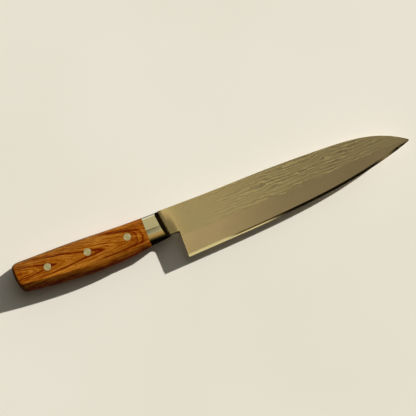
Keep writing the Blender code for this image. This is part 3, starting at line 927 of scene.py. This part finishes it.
def handle_wood(name, seed):
    """Orange-brown hardwood with dark flames, arches and streaks along the handle, painted sheen on
    the spine's round, and painted shade down the belly and on the butt.
    """
    material, nodes, shader = new_material(name)
    x, y, z = warped_place(nodes, seed)
    across = off_axis(nodes, x, y, FLAME_SLOPE_ABOVE, FLAME_SLOPE_BELOW)
    noses = flame_noses(nodes, x, across)
    rings = growth(nodes, noses, x, 0.17, 0.02, float(seed))
    fibre = growth(nodes, noses, x, 0.70, 0.20, z)
    cloud = nodes.noise(nodes.stretched(0.03, 0.12, 0.1, offset=(seed, 2, 8)), 2.0)
    pores = nodes.noise(nodes.stretched(0.45, 6.0, 6.0), 2.0)
    pores = nodes.ramp(pores, 0.64, 0.74)
    depth = below_cheek(nodes, Z_CHEEK)

    tone = wood_level(nodes, x)
    clear = nodes.ramp(across, 4.0, 40.0, 1.2, 2.9)
    for pattern, strength in ((rings, clear), (fibre, 3.0), (cloud, 0.5)):
        tone = nodes.math("MULTIPLY_ADD", nodes.math("SUBTRACT", pattern, 0.5), strength, tone)
    for nose, width in FLAMES:
        tone = nodes.math("SUBTRACT", tone, flame(nodes, x, noses, nose, width))
    for nose, width in ARCHES:
        tone = nodes.math("SUBTRACT", tone, arch(nodes, x, y, nose, width))
    tone = nodes.math("ADD", tone, pale_streak(nodes, x, y))
    tone = nodes.math("MULTIPLY_ADD", pores, -0.22, tone)
    # Painted shade: the wood darkens with depth below the cheek, down the belly.
    tone = nodes.math("SUBTRACT", tone, nodes.ramp(depth, *BELLY_PAINTED_SHADE, 0.0, 0.42))

    colour = nodes.stops(tone, 0.0, 1.0, *WOOD_TONES)
    # Painted sheen on the spine's round.
    colour = nodes.mix(painted_spine_sheen(nodes, x, y, depth), colour, SPINE_PAINTED_SHEEN)
    # Painted shade on the butt.
    colour = nodes.mix(painted_butt_shade(nodes), colour, BUTT_PAINTED_SHADE)
    nodes.feed(shader.inputs["Base Color"], colour)
    nodes.feed(shader.inputs["Roughness"], nodes.ramp(fibre, 0.3, 0.7, 0.34, 0.46))
    shader.inputs["Specular IOR Level"].default_value = 0.012
    relief = nodes.math("MULTIPLY_ADD", pores, -1.2, fibre)
    bump(nodes, shader, relief, 0.02 * MM, 0.5)
    return material


def floor_material():
    """Pale table top with a faint cloud and grain."""
    material, nodes, shader = new_material("floor")
    cloud = nodes.noise(nodes.stretched(0.004, 0.004, 0.004), detail=3.0)
    colour = nodes.mix(nodes.ramp(cloud, 0.3, 0.7), *TABLE_TONES)
    nodes.feed(shader.inputs["Base Color"], colour)
    shader.inputs["Roughness"].default_value = 0.7
    shader.inputs["Specular IOR Level"].default_value = 0.2
    grain = nodes.noise(nodes.stretched(0.9, 0.9, 0.9), detail=3.0)
    bump(nodes, shader, grain, 0.02 * MM, 0.3)
    return material


# Pieces


def shoulder_x(y):
    return bolster_front_x(y) + SEAM


def blank_cutters():
    """Cutters that leave the stub, the neck's shoulders and the choil of the blank."""
    rear = X_STUB_END - CUT_MARGIN
    floor = Y_HEEL - CUT_MARGIN
    ceiling = Y_SPINE + CUT_MARGIN
    choil = [
        (rear, floor),
        (rear, Y_STUB_BOTTOM),
        (shoulder_x(Y_STUB_BOTTOM), Y_STUB_BOTTOM),
        (shoulder_x(Y_NECK), Y_NECK),
    ]
    for step in range(CHOIL_STEPS + 1):
        turn = math.pi / 2 * step / CHOIL_STEPS
        x = X_HEEL - CHOIL_RADIUS * (1 - math.sin(turn))
        choil.append((x, Y_NECK - CHOIL_RADIUS * (1 - math.cos(turn))))
    choil.append((X_HEEL, floor))
    above_stub = [
        (rear, Y_STUB_TOP),
        (shoulder_x(Y_STUB_TOP), Y_STUB_TOP),
        (shoulder_x(ceiling), ceiling),
        (rear, ceiling),
    ]
    low = Z_MID - CUT_MARGIN
    high = Z_MID + CUT_MARGIN
    return [
        extruded("choil_cutter", choil, low, high),
        extruded("shoulder_cutter", above_stub, low, high),
    ]


def make_blade():
    columns = blade_columns()
    rings = []
    for x in columns:
        side = core_profile(x)
        ring = [(x, y, Z_MID + half) for y, half in side]
        ring += [(x, y, Z_MID - half) for y, half in reversed(side)]
        rings.append(ring)
    last = len(rings[0]) - 1
    core = add_object("core_steel_blade", lofted(rings, second_material=(0, last - 1, last)))
    layers = [core]
    for name, side in (("cladding_right_face", 1), ("cladding_left_face", -1)):
        rings = [[(x, y, Z_MID + side * h) for y, h in cladding_profile(x)] for x in columns]
        layers.append(add_object(name, lofted(rings)))
    carve(layers, blank_cutters())
    for layer in layers:
        shade(layer, sharp_degrees=3.0)
    cladding = cladding_steel()
    place(core, "core_steel", ["blade_core"], [core_steel(), bevel_steel()])
    place(layers[1], "cladding_steel", ["cladding_right"], [cladding])
    place(layers[2], "cladding_steel", ["cladding_left"], [cladding])


def make_bolster():
    rings = []
    for step in range(BOLSTER_STATIONS + 1):
        x = lerp(X_JOINT, X_FRONT + CUT_MARGIN, step / BOLSTER_STATIONS)
        share = (x - X_JOINT) / BOLSTER_LENGTH
        top = Y_RIVETS + lerp(TOP_AT_BOLSTER, BOLSTER_TOP_AT_FRONT, share)
        belly = Y_RIVETS - lerp(BELLY_AT_BOLSTER, BOLSTER_BELLY_AT_FRONT, share)
        shape = bolster_shape(belly)
        side = half_section(top, belly, BOLSTER_HALF, 0, shape, BOLSTER_STEPS)[1:-1]
        ring = [(x, y, Z_MID + z) for y, z in side]
        ring += [(x, y, Z_MID - z) for y, z in reversed(side)]
        rings.append(ring)
    mesh = lofted(rings)
    lean = BOLSTER_SLANT / (BOLSTER_TOP_AT_FRONT + BOLSTER_BELLY_AT_FRONT)
    slope = BOLSTER_FRONT_RUN / (BOLSTER_HALF - BOLSTER_LAND_HALF)
    for side in (-1, 0, 1):
        point = (bolster_front_x(Y_RIVETS), Y_RIVETS, Z_MID + side * BOLSTER_LAND_HALF)
        normal = Vector((1, lean, side * slope)).normalized()
        everything = mesh.verts[:] + mesh.edges[:] + mesh.faces[:]
        bmesh.ops.bisect_plane(
            mesh, geom=everything, plane_co=point, plane_no=normal, clear_outer=True
        )
        rim = [edge for edge in mesh.edges if edge.is_boundary]
        bmesh.ops.holes_fill(mesh, edges=rim)
    bolster = add_object("polished_bolster", mesh)
    low = Y_STUB_BOTTOM - SEAM
    high = Y_STUB_TOP + SEAM
    start = X_JOINT - CUT_MARGIN
    end = X_FRONT + CUT_MARGIN
    slot_outline = [(start, low), (end, low), (end, high), (start, high)]
    half = SPINE_HALF + NECK_RISE + SEAM
    carve([bolster], [extruded("slot_cutter", slot_outline, Z_MID - half, Z_MID + half)])
    for face in bolster.data.polygons:
        face.material_index = 1 if face.normal.x > FRONT_FACING else 0
    shade(bolster, sharp_degrees=20.0)
    easing = bolster.modifiers.new("eased_edges", "BEVEL")
    easing.width = BOLSTER_EASE
    easing.segments = 3
    easing.limit_method = "ANGLE"
    easing.angle_limit = math.radians(30)
    easing.harden_normals = True
    place(bolster, "bolster_steel", ["bolster"], [polished_steel(), bolster_front_steel()])


def make_tang():
    stations = handle_stations(TANG_STATIONS, X_JOINT - SEAM)
    tongue_end = X_STUB_END - SEAM
    outline = [(x, handle_belly(x)) for x in stations]
    outline += [(stations[-1], Y_STUB_BOTTOM), (tongue_end, Y_STUB_BOTTOM)]
    outline += [(tongue_end, Y_STUB_TOP), (stations[-1], Y_STUB_TOP)]
    outline += [(x, handle_top(x)) for x in reversed(stations)]
    tang = extruded("full_tang", outline, Z_MID - TANG_FACE, Z_MID + TANG_FACE)
    carve([tang], [rivet_hole(rivet_centre(name)) for name in RIVET_PLACES])
    shade(tang, sharp_degrees=30.0)
    place(tang, "tang_steel", ["tang"], [tang_steel()])


def rivet_hole(centre):
    seat = Z_CHEEK - HEAD_DEPTH - SEAM
    outside = Z_CHEEK + CUT_MARGIN
    head = HEAD_RADIUS + SEAM
    shank = SLEEVE_RADIUS + SEAM
    profile = [(head, -outside), (head, -seat), (shank, -seat)]
    profile += [(shank, seat), (head, seat), (head, outside)]
    return turned("rivet_hole", centre, profile)


def make_scale(name, side, node):
    inner = TANG_FACE + GLUE_LINE
    rings = []
    for x in handle_stations(SCALE_STATIONS, X_JOINT - SEAM):
        sizes = (handle_top(x), handle_belly(x), handle_half(x), inner, belly_shape(x))
        points = half_section(*sizes, SCALE_STEPS)
        rings.append([(x, y, Z_MID + side * z) for y, z in points])
    scale = add_object(name, lofted(rings))
    carve([scale], [rivet_hole(rivet_centre(place)) for place in RIVET_PLACES])
    shade(scale, sharp_degrees=30.0)
    place(scale, "handle_wood", [node], [handle_wood(f"{name}_wood", 3 + side)])


def make_rivet(where, metal):
    """Both halves of a rivet. The head shows a faint ring where the shank was pressed."""
    centre = rivet_centre(where)
    under = Z_CHEEK - HEAD_DEPTH
    face = [
        (HEAD_RING_RADIUS - HEAD_RING_HALF, 0),
        (HEAD_RING_RADIUS, HEAD_RING_DEPTH),
        (HEAD_RING_RADIUS + HEAD_RING_HALF, 0),
        (HEAD_RADIUS - HEAD_CHAMFER, 0),
        (HEAD_RADIUS, HEAD_CHAMFER),
    ]
    head = [(radius, Z_CHEEK - down) for radius, down in face]
    pin = head + [(HEAD_RADIUS, under), (PIN_RADIUS, under), (PIN_RADIUS, -under + SEAM)]
    sleeve = head + [(HEAD_RADIUS, under), (SLEEVE_RADIUS, under)]
    sleeve += [(SLEEVE_RADIUS, -under + SEAM), (PIN_RADIUS + SEAM, -under + SEAM)]
    sleeve += [(PIN_RADIUS + SEAM, under)]
    for side, sign, profile in (("right", 1, pin), ("left", -1, sleeve)):
        half = turned(f"rivet_head_{where}_{side}", centre, [(r, sign * h) for r, h in profile])
        shade(half, sharp_degrees=20.0)
        place(half, "rivet_metal", [f"rivet_{where}_{side}"], [metal])


# Stage, light and camera

PHOTO_WIDTH = 304 * MM
LENS = 85.0
SENSOR = 36.0
LOOK_AT = Vector((-2.794 * MM, 8.445 * MM, Z_MID))
AXIS_RISE = 20.614
SUN_ELEVATION = 21.5
SUN_BEARING = 16.0
SUN_STRENGTH = 7.2
SUN_WIDTH = 0.9
SUN_COLOUR = (1.0, 0.99, 0.97)
FLOOR_HALF = 4.0


def make_floor():
    mesh = bmesh.new()
    bmesh.ops.create_grid(mesh, x_segments=8, y_segments=8, size=FLOOR_HALF)
    floor = add_object("table_top", mesh)
    floor.data.materials.append(floor_material())


def towards(bearing, rise):
    """Direction at a bearing, counted from +X to +Y, and a rise above the table."""
    bearing = math.radians(bearing)
    rise = math.radians(rise)
    level = math.cos(rise)
    return level * math.cos(bearing), level * math.sin(bearing), math.sin(rise)


def make_sun():
    light = bpy.data.lights.new("sun", "SUN")
    light.energy = SUN_STRENGTH
    light.angle = math.radians(SUN_WIDTH)
    light.color = SUN_COLOUR
    sun = bpy.data.objects.new("sun", light)
    sun.rotation_mode = "QUATERNION"
    direction = Vector(towards(SUN_BEARING, SUN_ELEVATION))
    sun.rotation_quaternion = direction.to_track_quat("Z", "Y")
    bpy.context.scene.collection.objects.link(sun)


def lobe(nodes, direction, centre, inner, outer):
    """1 within inner degrees of a direction, fading to 0 at outer degrees."""
    near = nodes.add(
        "ShaderNodeVectorMath", {0: direction, 1: centre}, output=1, operation="DOT_PRODUCT"
    )
    return nodes.ramp(near, math.cos(math.radians(outer)), math.cos(math.radians(inner)))


# Overhead, from the handle's side to the tip's side
OVERHEAD = (
    (0.60, 0.56, 0.32),
    (0.64, 0.60, 0.34),
    (0.68, 0.64, 0.36),
    (0.66, 0.57, 0.30),
    (0.62, 0.465, 0.228),
    (0.265, 0.213, 0.112),
    (0.222, 0.182, 0.094),
    (0.238, 0.197, 0.097),
    (0.25, 0.207, 0.10),
)

# Down the belly's side, from level with the table upwards
BELLY_SIDE = (
    (0.005, 0.004, 0.003),
    (0.02, 0.018, 0.010),
    (0.08, 0.07, 0.03),
    (0.13, 0.09, 0.03),
    (0.48, 0.31, 0.10),
    (0.50, 0.32, 0.103),
    (0.33, 0.235, 0.09),
)

# Single colours of the room that metal mirrors
TIP_SIDE = (0.10, 0.075, 0.025, 1)
PAST_TIP_SIDE = (0.05, 0.04, 0.015, 1)
SPINE_SIDE = (0.78, 0.76, 0.50, 1)
GREY_BAND = (0.26, 0.23, 0.135, 1)
DARK_STRIPE = (0.125, 0.105, 0.045, 1)
EDGE_PANEL = (0.74, 0.66, 0.36, 1)
EDGE_FLAG = (0.008, 0.006, 0.002, 1)
CURTAIN = (0.02, 0.015, 0.006, 1)
BLACK = (0.0, 0.0, 0.0, 1)

# Where those lie, as spans of a direction's x or y. The curtain has a bearing and a rise.
HANDLE_SIDE_X = (-0.05, -0.042)
GREY_BAND_Y = (-0.26, -0.03)
DARK_STRIPE_Y = (-0.085, -0.03)
EDGE_PANEL_X = (-0.035, 0.066)
EDGE_PANEL_Y = (-0.34, -0.14)
EDGE_FLAG_X = (0.085, 0.6)
EDGE_FLAG_GAP_X = (0.234, 0.246)
EDGE_FLAG_Y = (-0.56, -0.13)
CURTAIN_PLACE = (6, 42)

# Light on matt surfaces, with the bearing and rise of its brightest part, and the backdrop
SHADE = (0.064, 0.057, 0.046, 1)
SKY = (0.80, 0.79, 0.78, 1)
SKY_PLACE = (45, 28)
BACKDROP = rgb(226, 221, 208)


def room(nodes, x, y):
    """The room from side to side: overhead, past the tip, and towards belly and spine."""
    colour = nodes.stops(x, -0.2, 0.2, *OVERHEAD)
    colour = nodes.mix(nodes.ramp(x, 0.2, 0.42), colour, TIP_SIDE)
    colour = nodes.mix(nodes.ramp(x, 0.4, 0.6), colour, PAST_TIP_SIDE)
    colour = nodes.mix(nodes.ramp(x, *HANDLE_SIDE_X, 0.25, 0.0), colour, BLACK)
    belly_side = nodes.stops(y, -1.0, -0.28, *BELLY_SIDE)
    colour = nodes.mix(nodes.ramp(y, -0.36, -0.26, 1.0, 0.0), colour, belly_side)
    return nodes.mix(nodes.ramp(y, 0.45, 0.8), colour, SPINE_SIDE)


def studio_reflections(nodes, direction):
    """What metal mirrors: a warm room that darkens to the tip side, with panels and flags."""
    x, y, z = nodes.split(direction)
    colour = room(nodes, x, y)
    handle_side = nodes.ramp(x, *HANDLE_SIDE_X, 1.0, 0.0)
    grey = nodes.math("MULTIPLY", nodes.window(y, *GREY_BAND_Y, 0.02), handle_side)
    colour = nodes.mix(grey, colour, GREY_BAND)
    stripe = nodes.math("MULTIPLY", nodes.window(y, *DARK_STRIPE_Y, 0.02), handle_side)
    colour = nodes.mix(stripe, colour, DARK_STRIPE)
    panel = nodes.window(x, *EDGE_PANEL_X, 0.01)
    panel = nodes.math("MULTIPLY", nodes.window(y, *EDGE_PANEL_Y, 0.04), panel)
    colour = nodes.mix(panel, colour, EDGE_PANEL)
    flag = nodes.window(x, *EDGE_FLAG_X, 0.01)
    flag = nodes.math("SUBTRACT", flag, nodes.window(x, *EDGE_FLAG_GAP_X, 0.006))
    flag = nodes.math("MULTIPLY", nodes.window(y, *EDGE_FLAG_Y, 0.04), flag)
    colour = nodes.mix(flag, colour, EDGE_FLAG)
    curtain = lobe(nodes, direction, towards(*CURTAIN_PLACE), 14, 30)
    return nodes.mix(curtain, colour, CURTAIN)


def make_world():
    """Dim soft fill for matt surfaces, and a studio that only metal mirrors."""
    world = bpy.data.worlds.new("studio")
    world.use_nodes = True
    bpy.context.scene.world = world
    nodes = Nodes(world.node_tree)
    background = world.node_tree.nodes["Background"]
    output = world.node_tree.nodes["World Output"]
    direction = nodes.add("ShaderNodeTexCoord", output=0)
    nodes.feed(background.inputs["Color"], studio_reflections(nodes, direction))
    sky = lobe(nodes, direction, towards(*SKY_PLACE), 20, 50)
    fill = nodes.mix(sky, SHADE, SKY)
    fill = nodes.add("ShaderNodeBackground", {"Color": fill, "Strength": 1.0})
    pale = nodes.add("ShaderNodeBackground", {"Color": BACKDROP, "Strength": 1.0})
    rays = world.node_tree.nodes.new("ShaderNodeLightPath")
    glossy = nodes.add(
        "ShaderNodeMixShader",
        {0: rays.outputs["Is Glossy Ray"], 1: fill, 2: background.outputs[0]},
    )
    shown = nodes.add(
        "ShaderNodeMixShader", {0: rays.outputs["Is Camera Ray"], 1: glossy, 2: pale}
    )
    nodes.feed(output.inputs["Surface"], shown)


def make_camera():
    data = bpy.data.cameras.new("camera")
    data.lens = LENS
    data.sensor_width = SENSOR
    camera = bpy.data.objects.new("camera", data)
    distance = PHOTO_WIDTH * LENS / SENSOR
    camera.location = LOOK_AT + Vector((0, 0, distance))
    camera.rotation_euler = (0, 0, -math.radians(AXIS_RISE))
    bpy.context.scene.collection.objects.link(camera)
    bpy.context.scene.camera = camera


bpy.context.scene.view_settings.view_transform = "Standard"
make_camera()
make_floor()
make_sun()
make_world()
make_blade()
make_bolster()
make_tang()
make_scale("wood_scale_right", 1, "scale_right")
make_scale("wood_scale_left", -1, "scale_left")
nickel = rivet_metal()
for rivet_place in RIVET_PLACES:
    make_rivet(rivet_place, nickel)
